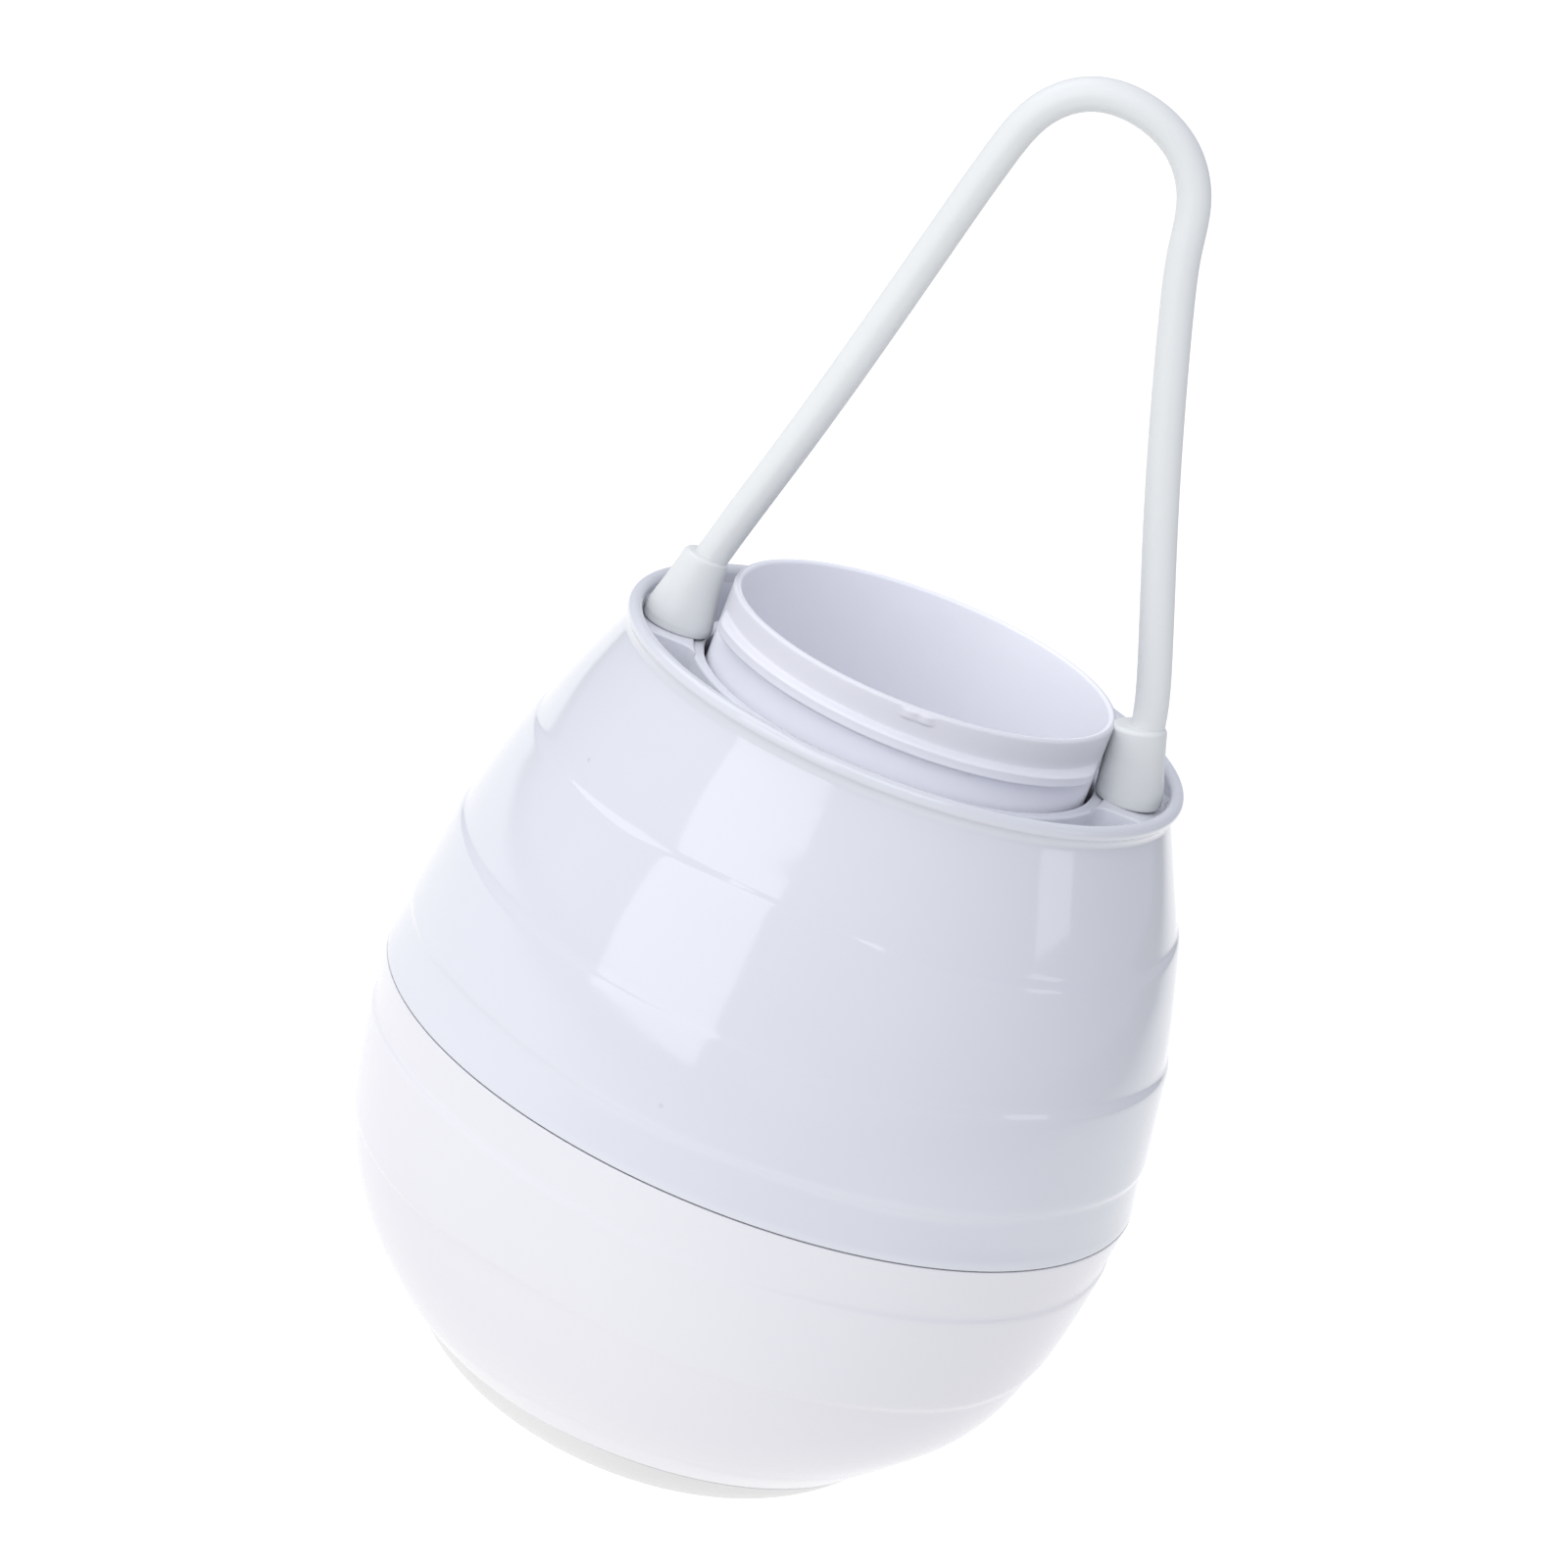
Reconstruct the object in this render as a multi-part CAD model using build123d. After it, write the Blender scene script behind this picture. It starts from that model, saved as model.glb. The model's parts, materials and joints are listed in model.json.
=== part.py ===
from build123d import *
import os
from math import cos, radians, sin, tan

# Hanging insect zapper: a hive-shaped shell round an open, threaded killing chamber.
# Millimetres, +Z up. The origin is the middle of the foot, on the surface it stands on.

# Shell
seam_z = 65.5          # height of the widest girth, where the two shells meet
seam_half_gap = 0.3    # half of the dark gap that the gasket fills
shell_wall = 2.2
rim_r = 46.75          # centre circle of the rolled rim
rim_z = 133.85
rim_bead = 1.25        # radius of the bead itself

# Each band of the shell: bottom height, bottom radius, top height, top radius, bow.
upper_bands = [
    (65.8, 65.9, 74.4, 64.3, 0.15),
    (74.4, 64.9, 91.2, 62.1, 0.2),
    (91.2, 61.5, 111.7, 56.0, 0.4),
    (111.7, 55.2, 131.5, 47.3, 0.4),
]
lower_bands = [
    (10.1, 43.1, 16.0, 49.3, 0.3),
    (16.0, 49.7, 37.8, 61.7, 2.0),
    (37.8, 62.4, 56.3, 65.3, 0.2),
    (56.3, 64.9, 65.2, 65.9, 0.25),
]

# Deck inside the rim
deck_top = 130.8       # top of the collar round the neck
moat_floor = 119.0
deck_plate = 2.0
collar_in, collar_out = 33.7, 35.8
shelf_top = 131.3
shelf_half_width = 8.5
shelf_web = 1.8
rim_inner_r = 45.4     # inside of the wall, from the rim's foot down to the moat's corner
moat_corner_r = 50.0
weld_gap = 0.1         # room between the deck ring and the wall it is welded into

# Chamber cup with its threaded neck
lip_z = 143.0
neck_out, neck_in = 32.9, 31.6
cup_floor = 46.0
cup_floor_thick = 2.0
cup_bottom_out = 31.6
cup_wall = 1.6
thread_z, thread_crest = 138.9, 34.6
thread_half_height = 1.6
thread_gap_half = 6.0  # the ridge is left out beside each strap plug
lug_r, lug_z, lug_thick = 42.0, 106.0, 2.0
lug_angles = (45, 135, 225, 315)
lug_width = 5.0
brace_width = 2.0      # webs that tie the cup's long posts to its wall
brace_height = 26.0

# Strap and its plugs
strap_r = 2.75
strap_top_z = 237.1
plug_x = 39.4
plug_base_r, plug_top_r, plug_height = 5.5, 4.2, 12.7
plug_lean = {"left": 6.0, "right": -10.0}
plug_side = {"left": -1, "right": 1}
stem_r = 2.2
strap_pivot_z = 147.0

# Base, battery and electronics
foot_r = 30.4
base_joint_r, base_joint_z = 42.6, 9.6
base_plate_z, base_plate_thick = 4.0, 2.0
recess_r = 26.0
pad_step = 1.8         # height of the step that the foot pad sits in
floor_z, floor_thick = 10.1, 2.0
service_hole_r = 17.0
base_screw_r = 21.5
shell_post_r = 34.0
shell_post_angles = (55, 125, 235, 305)
cell_r, cell_length, cell_z = 9.2, 65.0, 24.9
board_z, board_thick, board_r = 34.4, 1.6, 29.0
switch_x, port_x = -9.0, 9.5
button_r, button_travel = 4.0, 1.0
service_board_z, service_board_r = 13.0, 15.6
flap_hinge_y = 6.6
spigot_wall, spigot_low, spigot_high = 1.6, 5.0, 4.0

# Killing cartridge, which drops into the cup
contact_post_r = 5.0
tray_r, tray_floor, tray_top = 28.4, 48.4, 60.0
hub_z, hub_thick = 60.3, 4.0
cartridge_r = 28.4
grid_bottom, grid_top = 64.3, 104.0
outer_grid_r, inner_grid_r = 25.0, 19.0
grid_wire_r = 0.6
wires_per_grid = 20
tube_r, tube_wall = 9.0, 1.0
cap_thick = 4.0
bail_pivot_z = 110.2
bail_wire_r = 1.1
bail_r = 12.0

# Screws and the bosses they go into
boss_r, post_r = 3.4, 3.3
pilot_r, clearance_r = 1.2, 1.5
board_post_circle, board_post_r = 24.0, 2.6
board_post_angles = (0, 120, 240)
board_pilot_r, board_clearance_r = 0.9, 1.1
screw_gap = 0.05       # under each screw head

# Contact pins
pin_circle, pin_r = 2.6, 0.8
pin_angles = (90, 210, 330)

gap = 0.3              # air between separate pieces that only lie next to each other
close_gap = 0.1        # the same where pieces are guided by each other


def at(x, y, z, shape):
    return Pos(x, y, z) * shape


def disc(r, z_low, z_high):
    return at(0, 0, (z_low + z_high) / 2, Cylinder(r, z_high - z_low))


def ring(r_in, r_out, z_low, z_high):
    return disc(r_out, z_low, z_high) - disc(r_in, z_low - 1, z_high + 1)


def rod(r, x, y, z_low, z_high):
    return Pos(x, y, 0) * disc(r, z_low, z_high)


def block(x_size, y_size, z_low, z_high, x=0.0, y=0.0):
    return at(x, y, (z_low + z_high) / 2, Box(x_size, y_size, z_high - z_low))


def around(r, angles):
    return [(r * cos(radians(a)), r * sin(radians(a))) for a in angles]


# A line, or an arc bowed outwards, between two (radius, height) points.
def straight(p, q):
    return Line((p[0], 0, p[1]), (q[0], 0, q[1]))


def bowed(p, q, bow):
    dr, dz = q[0] - p[0], q[1] - p[1]
    length = (dr * dr + dz * dz) ** 0.5
    side = 1 if dz > 0 else -1
    mid = ((p[0] + q[0]) / 2 + side * bow * dz / length, (p[1] + q[1]) / 2 - side * bow * dr / length)
    return ThreePointArc((p[0], 0, p[1]), (mid[0], 0, mid[1]), (q[0], 0, q[1]))


def turned(edges):
    return revolve(Face(Wire(edges)), Axis.Z)


def turned_polygon(points):
    return turned([straight(p, q) for p, q in zip(points, points[1:] + points[:1])])


# The outer surface of a stack of bands, from its lowest point to its highest.
def banded(bands):
    edges = []
    for i, (z0, r0, z1, r1, bow) in enumerate(bands):
        edges.append(bowed((r0, z0), (r1, z1), bow))
        if i + 1 < len(bands):
            edges.append(straight((r1, z1), (bands[i + 1][1], z1)))
    return edges


def screw(x, y, head_z, length, shank_r=1.2, head_r=2.4, head_height=1.8):
    head = rod(head_r, x, y, head_z - head_height, head_z)
    slot = block(2.6, 0.6, head_z - head_height - 1, head_z - head_height + 0.8, x, y)
    cross = block(0.6, 2.6, head_z - head_height - 1, head_z - head_height + 0.8, x, y)
    return head + rod(shank_r, x, y, head_z, head_z + length) - slot - cross


# Upper shell: banded wall and rolled rim.
def upper_shell():
    top = (upper_bands[-1][3], upper_bands[-1][2])
    inner_seam = (upper_bands[0][1] - shell_wall - 0.2, seam_z + seam_half_gap)
    inner_mid = (upper_bands[2][1] - shell_wall - 0.6, upper_bands[2][0])
    moat_corner = (moat_corner_r, moat_floor)
    inner_rim = (rim_inner_r, top[1])
    edges = banded(upper_bands)
    edges += [
        straight(top, (rim_r, rim_z)),
        straight((rim_r, rim_z), inner_rim),
        bowed(inner_rim, moat_corner, 0.2),
        bowed(moat_corner, inner_mid, 0.6),
        bowed(inner_mid, inner_seam, 0.3),
        straight(inner_seam, (upper_bands[0][1], seam_z + seam_half_gap)),
    ]
    return turned(edges) + at(0, 0, rim_z, Torus(rim_r, rim_bead))


# Everything inside this tapered plug clears the inside of the wall by the weld gap.
def room_inside_wall():
    low_r, high_r = moat_corner_r - weld_gap, rim_inner_r - weld_gap
    bottom = moat_floor - deck_plate
    return turned_polygon([(0, bottom), (low_r, bottom), (low_r, moat_floor), (high_r, shelf_top), (0, shelf_top)])


def strap_shelf(side):
    x_in, x_out = collar_in + 1.0, moat_corner_r + deck_plate
    centre, width = side * (x_in + x_out) / 2, x_out - x_in
    depth = 2 * shelf_half_width
    bottom = moat_floor - deck_plate
    body = block(width, depth, bottom, shelf_top, centre)
    pocket_in, pocket_out = collar_out + close_gap, x_out - 2 * shelf_web
    middle = side * (pocket_in + pocket_out) / 2
    pocket_depth = depth - 2 * shelf_web
    return body - block(pocket_out - pocket_in, pocket_depth, bottom - 1, shelf_top - deck_plate, middle)


# Deck ring: the moat's floor, the collar round the neck, two strap shelves and four posts.
def deck_ring():
    bottom = moat_floor - deck_plate
    shape = disc(moat_corner_r, bottom, moat_floor) + disc(collar_out, bottom, deck_top)
    for side in (-1, 1):
        shape -= block(9.0, 2 * (shelf_half_width - shelf_web), bottom - 1, moat_floor + 1, side * 42.0)
        shape += strap_shelf(side)
        shape -= rod(stem_r + close_gap, side * plug_x, 0, bottom, shelf_top + 1)
    shape = (shape & room_inside_wall()) - disc(collar_in, 0, lip_z)
    for x, y in around(lug_r, lug_angles):
        shape += rod(boss_r, x, y, lug_z + lug_thick, bottom + 0.5)
    for x, y in around(lug_r, lug_angles):
        shape -= rod(pilot_r, x, y, lug_z, bottom - 1)
    return shape


# Lower shell: banded wall, ring floor, spigot that locates the upper shell, and screw bosses.
def lower_shell():
    low = (lower_bands[0][1], lower_bands[0][0])
    high = (lower_bands[-1][3], lower_bands[-1][2])
    floor_top = floor_z + floor_thick
    inner = [(41.0, floor_top), (47.4, 17.0), (59.4, 37.8), (high[0] - shell_wall, high[1])]
    edges = banded(lower_bands)
    edges += [
        straight(high, inner[3]),
        bowed(inner[3], inner[2], 0.4),
        bowed(inner[2], inner[1], 1.6),
        straight(inner[1], inner[0]),
        straight(inner[0], (service_hole_r, floor_top)),
        straight((service_hole_r, floor_top), (service_hole_r, floor_z)),
        straight((service_hole_r, floor_z), low),
    ]
    shape = turned(edges)
    spigot_out = upper_bands[0][1] - shell_wall - 1.5
    spigot_in = spigot_out - spigot_wall
    shape += ring(spigot_in, spigot_out, seam_z - spigot_low, seam_z + spigot_high)
    shape += turned_polygon([(spigot_in, 61.0), (63.6, 56.0), (63.6, 61.0), (spigot_out - 0.5, 63.0)])
    for x, y in around(base_screw_r, lug_angles):
        shape += rod(post_r, x, y, base_plate_z + base_plate_thick + close_gap, floor_z + 0.5)
    for x, y in around(base_screw_r, lug_angles):
        shape -= rod(pilot_r, x, y, 0, floor_top + 1)
    for x, y in around(shell_post_r, shell_post_angles):
        shape -= rod(clearance_r, x, y, 0, floor_top + 1)
    return shape


def seam_gasket():
    outer = upper_bands[0][1] - 1.1
    return ring(outer - 1.4, outer, seam_z - seam_half_gap + 0.02, seam_z + seam_half_gap - 0.02)


# Chamber cup: an open beaker whose threaded neck comes up through the deck.
def cup_wall_shape():
    floor_top = cup_floor + cup_floor_thick
    lip_round = 0.7
    points = [
        (0, cup_floor), (cup_bottom_out, cup_floor), (neck_out, 112.0), (neck_out, thread_z - thread_half_height),
        (thread_crest, thread_z - 0.5), (thread_crest, thread_z + 0.5), (neck_out, thread_z + thread_half_height),
        (neck_out, lip_z - lip_round), (neck_out - lip_round, lip_z), (neck_in, lip_z),
        (neck_in, 112.0), (cup_bottom_out - cup_wall, floor_top), (0, floor_top),
    ]
    return turned_polygon(points)


def chamber_cup():
    shape = cup_wall_shape()
    ridge = ring(neck_out, thread_crest + 1, thread_z - 2.5, thread_z + 2.5)
    for side in (-1, 1):
        shape -= ridge & block(20.0, 2 * thread_gap_half, 0, 200, side * neck_out)
    shape += disc(contact_post_r, cup_floor, hub_z - 2.0)
    lug_top = lug_z + lug_thick - close_gap
    arm_in = neck_out - 1.0
    for angle, (x, y) in zip(lug_angles, around(lug_r, lug_angles)):
        shape += rod(boss_r, x, y, lug_z, lug_top)
        shape += Rot(0, 0, angle) * block(lug_r - arm_in, lug_width, lug_z, lug_top, (lug_r + arm_in) / 2)
        shape -= rod(clearance_r, x, y, lug_z - 1, lug_top + 1)
    post_bottom = floor_z + floor_thick + close_gap
    for angle, (x, y) in zip(shell_post_angles, around(shell_post_r, shell_post_angles)):
        shape += rod(post_r, x, y, post_bottom, cup_floor + 6.0)
        web = block(6.0, brace_width, post_bottom + brace_height, cup_floor + 6.0, cup_bottom_out + 0.6)
        shape += Rot(0, 0, angle) * web
        shape -= rod(pilot_r, x, y, post_bottom - 1, post_bottom + 12.0)
    for x, y in around(board_post_circle, board_post_angles):
        shape += rod(board_post_r, x, y, board_z + board_thick, cup_floor + 0.5)
        shape -= rod(board_pilot_r, x, y, board_z, board_z + board_thick + 6.0)
    return shape


# Strap: one round silicone loop, straight on its left leg and a little bowed on its right.
# Each end is a ball on the line that the loop swings about.
def strap_route():
    left_foot, right_foot = [plug_axis_point(name, strap_pivot_z) for name in ("left", "right")]
    corner_left, corner_right = (-13.2, 0, strap_top_z), (10.6, 0, strap_top_z)
    bend_right = (26.4, 0, 181.0)
    return FilletPolyline(left_foot, corner_left, corner_right, bend_right, right_foot, radius=[15.0, 14.0, 220.0])


def carry_strap():
    route = strap_route()
    shape = sweep(Plane(route @ 0, z_dir=route % 0) * Circle(strap_r), path=route)
    for end in (route @ 0, route @ 1):
        shape += Pos(end) * Sphere(strap_r)
    print("strap length", round(route.length, 1))
    return shape


# The point on a plug's leaning axis at a given height.
def plug_axis_point(name, z):
    x = plug_side[name] * plug_x + (z - shelf_top) * tan(radians(plug_lean[name]))
    return (x, 0, z)


def strap_plug(name):
    x = plug_side[name] * plug_x
    shoulder = 0.9
    points = [
        (0, -3.0), (plug_base_r + 0.2, -3.0), (plug_base_r, 0.5), (plug_top_r, plug_height - shoulder),
        (plug_top_r - shoulder, plug_height), (0, plug_height),
    ]
    body = at(x, 0, shelf_top, Rot(0, plug_lean[name], 0) * turned_polygon(points))
    body -= block(40, 40, shelf_top - 20, shelf_top + 0.05, x)
    underside = shelf_top - deck_plate
    barb = [
        (0, underside - 6.0), (1.2, underside - 6.0), (3.3, underside - 0.8), (3.3, underside - 0.1),
        (stem_r, underside - 0.1), (stem_r, shelf_top + 1.0), (0, shelf_top + 1.0),
    ]
    return body + at(x, 0, 0, turned_polygon(barb))


# Base: the shallow cone that the hive stands on, recessed underneath.
def base_foot():
    outer = [(foot_r, 0.4), (base_joint_r, base_joint_z)]
    plate_top = base_plate_z + base_plate_thick
    edges = [
        bowed(outer[0], outer[1], 1.0),
        straight(outer[1], (base_joint_r - 2.4, base_joint_z)),
        bowed((base_joint_r - 2.4, base_joint_z), (foot_r - 0.6, plate_top), 0.8),
        straight((foot_r - 0.6, plate_top), (0, plate_top)),
        straight((0, plate_top), (0, base_plate_z)),
        straight((0, base_plate_z), (recess_r, base_plate_z)),
        straight((recess_r, base_plate_z), (recess_r, pad_step)),
        straight((recess_r, pad_step), (foot_r - 0.9, pad_step)),
        straight((foot_r - 0.9, pad_step), (foot_r - 0.9, 0.4)),
        straight((foot_r - 0.9, 0.4), outer[0]),
    ]
    shape = turned(edges)
    shape -= rod(button_r + gap, switch_x, 0, 0, 20)
    shape -= block(3.8, 9.6, 0, 20, port_x)
    shape -= block(6.4, 13.4, base_plate_z - 1, base_plate_z + 0.9, port_x, 0.8)
    for x, y in around(base_screw_r, lug_angles):
        shape -= rod(clearance_r, x, y, 0, 20)
    return shape


def foot_pad():
    return ring(recess_r + close_gap, foot_r - 1.0, 0.0, pad_step - close_gap)


def group(shapes):
    return Compound(children=list(shapes))


def base_screws():
    return group(screw(x, y, base_plate_z - screw_gap, 7.0) for x, y in around(base_screw_r, lug_angles))


def shell_screws():
    return group(screw(x, y, floor_z - screw_gap, 12.0) for x, y in around(shell_post_r, shell_post_angles))


def cup_screws():
    return group(screw(x, y, lug_z - screw_gap, 9.0) for x, y in around(lug_r, lug_angles))


def board_screws():
    spots = around(board_post_circle, board_post_angles)
    return group(screw(x, y, board_z - screw_gap, 6.0, board_pilot_r, 1.9, 1.2) for x, y in spots)


def button_seal():
    return ring(button_r + gap, button_r + 2.0, base_plate_z + base_plate_thick + 0.05, base_plate_z + 2.8).moved(
        Location((switch_x, 0, 0)))


def power_button():
    face_z = base_plate_z - 0.6
    cap = rod(button_r, switch_x, 0, face_z, base_plate_z + 2.4)
    dish = at(switch_x, 0, face_z - 14.6, Sphere(15.0))
    flange = rod(button_r + 1.6, switch_x, 0, base_plate_z + 3.0, base_plate_z + 3.6)
    neck = rod(button_r - 1.0, switch_x, 0, base_plate_z + 2.0, base_plate_z + 3.2)
    return cap + neck + flange - dish


# Service board: carries the switch and the charging socket just above the base plate.
def service_board():
    return disc(service_board_r, service_board_z, service_board_z + board_thick)


def power_switch():
    stem_low = base_plate_z + 3.6 + button_travel + 0.1
    body = block(6.2, 6.2, stem_low + 0.8, service_board_z - 0.05, switch_x)
    return body + rod(1.7, switch_x, 0, stem_low, stem_low + 1.2)


def usb_socket():
    low = base_plate_z + 1.0
    shell = block(3.2, 9.0, low, service_board_z - 0.05, port_x)
    mouth = block(2.6, 8.4, low - 1, low + 5.5, port_x)
    tongue = block(0.7, 6.6, low + 1.0, low + 5.6, port_x)
    return shell - mouth + tongue


def port_cover():
    low = base_plate_z - 0.9
    top = base_plate_z + 0.8
    lid = block(5.8, 11.4, low, top, port_x, 0.2)
    lid -= block(4.6, 0.8, low - 1, low + 0.5, port_x, -4.4)
    plug = block(2.2, 8.0, top - 0.2, top + 1.6, port_x)
    slot = block(1.2, 7.0, top + 0.2, top + 3.0, port_x)
    return lid + plug - slot


def flap_anchor():
    return block(5.8, 0.9, base_plate_z - 0.9, base_plate_z + 0.8, port_x, flap_hinge_y + 0.35)


# Battery: two round cells side by side in a cradle on the shell's floor.
def battery_cradle():
    floor_top = service_board_z + board_thick + 0.1
    shape = block(cell_length + 4.4, 4 * cell_r + 1.6, floor_top, cell_z - 0.5)
    for side in (-1, 1):
        y = side * (cell_r + 0.1)
        shape -= at(0, y, cell_z, Rot(0, 90, 0) * Cylinder(cell_r + 0.1, cell_length + 0.6))
    shape -= block(cell_length - 16.0, 4 * cell_r + 4.0, cell_z - 4.0, 60)
    for side in (-1, 1):
        shape -= block(1.4, 4 * cell_r - 5.4, cell_z - 3.3, cell_z + 3.3, side * (cell_length / 2 + 0.2))
        shape += block(6.0, 10.0, floor_z + floor_thick + 0.05, floor_top + 0.2, side * 27.0)
    return shape


def battery_cell(side):
    y = side * (cell_r + 0.1)
    can = Rot(0, 90, 0) * Cylinder(cell_r, cell_length - 2.0)
    button = at(side * (cell_length / 2 - 0.6), 0, 0, Rot(0, 90, 0) * Cylinder(3.0, 1.2))
    return at(0, y, cell_z, can + button)


def battery_tabs():
    tabs = []
    for side in (-1, 1):
        tabs.append(block(0.3, 4 * cell_r - 6.0, cell_z - 3.0, cell_z + 3.0, side * (cell_length / 2 + 0.15)))
    return group(tabs)


def main_board():
    shape = disc(board_r, board_z, board_z + board_thick)
    for x, y in around(board_post_circle, board_post_angles):
        shape -= rod(board_clearance_r, x, y, 0, 60)
    return shape


def hv_transformer():
    z = board_z + board_thick + 0.05
    core = block(14.0, 12.0, z, z + 9.0, 2.0, -10.0) - block(9.0, 14.0, z + 2.4, z + 6.6, 2.0, -10.0)
    bobbin = block(8.6, 14.6, z + 2.6, z + 6.4, 2.0, -10.0)
    return group([core, bobbin])


def hv_capacitor():
    z = board_z + board_thick + 0.05
    return at(4.0, 9.0, z + 4.0, fillet(Box(13.0, 6.0, 8.0).edges(), 1.2))


def control_chip():
    z = board_z + board_thick + 0.05
    body = block(7.0, 5.0, z + 0.2, z + 1.6, -14.0, -3.0)
    legs = []
    for i in range(4):
        for side in (-1, 1):
            legs.append(block(0.5, 1.2, z, z + 0.8, -16.4 + 1.6 * i, -3.0 + side * 3.1))
    return group([body] + legs)


# Contact pins: three brass pins up the middle of the cup, which the cartridge drops onto.
def contact_pins():
    top = hub_z + 1.6
    return group(rod(pin_r, x, y, hub_z - 1.95, top) for x, y in around(pin_circle, pin_angles))


# Cartridge hub: the plate that carries the grids, open between its spokes so insects fall through.
def cartridge_hub():
    shape = disc(8.6, hub_z, hub_z + hub_thick)
    shape += ring(outer_grid_r + 1.6, cartridge_r, hub_z, hub_z + hub_thick)
    shape += ring(inner_grid_r - 1.4, inner_grid_r + 1.4, hub_z, hub_z + hub_thick)
    shape += ring(outer_grid_r - 1.4, outer_grid_r + 1.8, hub_z, hub_z + hub_thick)
    for angle in (30, 90, 150, 210, 270, 330):
        shape += Rot(0, 0, angle) * block(19.5, 2.4, hub_z, hub_z + hub_thick, 17.0)
    for x, y in around(pin_circle, pin_angles):
        shape -= rod(pin_r + 0.2, x, y, hub_z - 1, hub_z + 2.4)
    shape -= ring(tube_r - 1.3, tube_r + 0.05, hub_z + 2.8, hub_z + 9)
    return shape


def wire_grid(radius):
    hoop = 2 * grid_wire_r
    cage = ring(radius - grid_wire_r, radius + grid_wire_r, grid_bottom, grid_bottom + hoop)
    cage += ring(radius - grid_wire_r, radius + grid_wire_r, grid_top - hoop, grid_top)
    for x, y in around(radius, [360 * i / wires_per_grid for i in range(wires_per_grid)]):
        cage += rod(grid_wire_r - 0.05, x, y, grid_bottom + 0.5, grid_top - 0.5)
    return cage


def lamp_tube():
    return ring(tube_r - tube_wall, tube_r, hub_z + 2.85, grid_top - 0.05)


def led_board():
    return block(8.0, 1.2, hub_z + hub_thick + 0.05, grid_top - 2.0)


def led_chips():
    chips = []
    for i in range(6):
        z = hub_z + 8.0 + 5.8 * i
        for side in (-1, 1):
            chips.append(block(3.0, 1.0, z, z + 3.0, 0, side * 1.15))
    return group(chips)


# Top cap: holds the grids and the lamp, with two ears for the lifting bail.
def cartridge_cap():
    top = grid_top + cap_thick
    shape = disc(tube_r + 3.0, grid_top, top)
    shape += ring(inner_grid_r - 1.6, cartridge_r, grid_top, top)
    shape -= ring(inner_grid_r + 2.2, outer_grid_r - 2.2, grid_top - 1, top + 1)
    for angle in range(0, 360, 60):
        shape += Rot(0, 0, angle) * block(cartridge_r - 10.0, 3.0, grid_top, top, (cartridge_r + 8.0) / 2)
    for side in (-1, 1):
        x = side * (bail_r + 2.6)
        shape += block(2.4, 4.0, top - 0.5, bail_pivot_z + 1.8, x)
        shape -= at(x, 0, bail_pivot_z, Rot(0, 90, 0) * Cylinder(bail_wire_r + 0.05, 8.0))
    return shape


# Lifting bail: a half-round wire that folds flat on the cap.
def lift_bail():
    bow = Pos(0, 0, bail_pivot_z) * CenterArc((0, 0, 0), bail_r, 180, 180)
    shape = sweep(Plane(bow @ 0, z_dir=bow % 0) * Circle(bail_wire_r), path=bow)
    for side in (-1, 1):
        shape += at(side * (bail_r + 1.9), 0, bail_pivot_z, Rot(0, 90, 0) * Cylinder(bail_wire_r, 3.8))
    return shape


# Collection tray: a ring-shaped pan round the contact post, hung under the hub.
def collection_tray():
    points = [
        (contact_post_r + 0.6, tray_floor), (tray_r - 1.0, tray_floor), (tray_r, tray_floor + 1.0), (tray_r, tray_top),
        (tray_r - 1.2, tray_top), (tray_r - 1.2, tray_floor + 1.2), (contact_post_r + 1.8, tray_floor + 1.2),
        (contact_post_r + 1.8, tray_top - 2.0), (contact_post_r + 0.6, tray_top - 2.0),
    ]
    return turned_polygon(points)


parts = {
    "upper_shell": upper_shell(),
    "deck_ring": deck_ring(),
    "lower_shell": lower_shell(),
    "seam_gasket": seam_gasket(),
    "chamber_cup": chamber_cup(),
    "carry_strap": carry_strap(),
    "strap_plug_left": strap_plug("left"),
    "strap_plug_right": strap_plug("right"),
    "base_foot": base_foot(),
    "foot_pad": foot_pad(),
    "base_screws": base_screws(),
    "shell_screws": shell_screws(),
    "cup_screws": cup_screws(),
    "board_screws": board_screws(),
    "button_seal": button_seal(),
    "power_button": power_button(),
    "power_switch": power_switch(),
    "service_board": service_board(),
    "usb_socket": usb_socket(),
    "port_cover": port_cover(),
    "flap_anchor": flap_anchor(),
    "battery_cradle": battery_cradle(),
    "battery_cell_left": battery_cell(-1),
    "battery_cell_right": battery_cell(1),
    "battery_tabs": battery_tabs(),
    "main_board": main_board(),
    "hv_transformer": hv_transformer(),
    "hv_capacitor": hv_capacitor(),
    "control_chip": control_chip(),
    "contact_pins": contact_pins(),
    "cartridge_hub": cartridge_hub(),
    "outer_grid": wire_grid(outer_grid_r),
    "inner_grid": wire_grid(inner_grid_r),
    "lamp_tube": lamp_tube(),
    "led_board": led_board(),
    "led_chips": led_chips(),
    "cartridge_cap": cartridge_cap(),
    "lift_bail": lift_bail(),
    "collection_tray": collection_tray(),
}

os.makedirs("parts", exist_ok=True)
for name, shape in parts.items():
    export_step(shape, "parts/" + name + ".step")
    print(name, round(shape.volume))
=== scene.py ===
import bmesh
import bpy
import json
import numpy as np
from mathutils import Matrix, Vector


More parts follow.
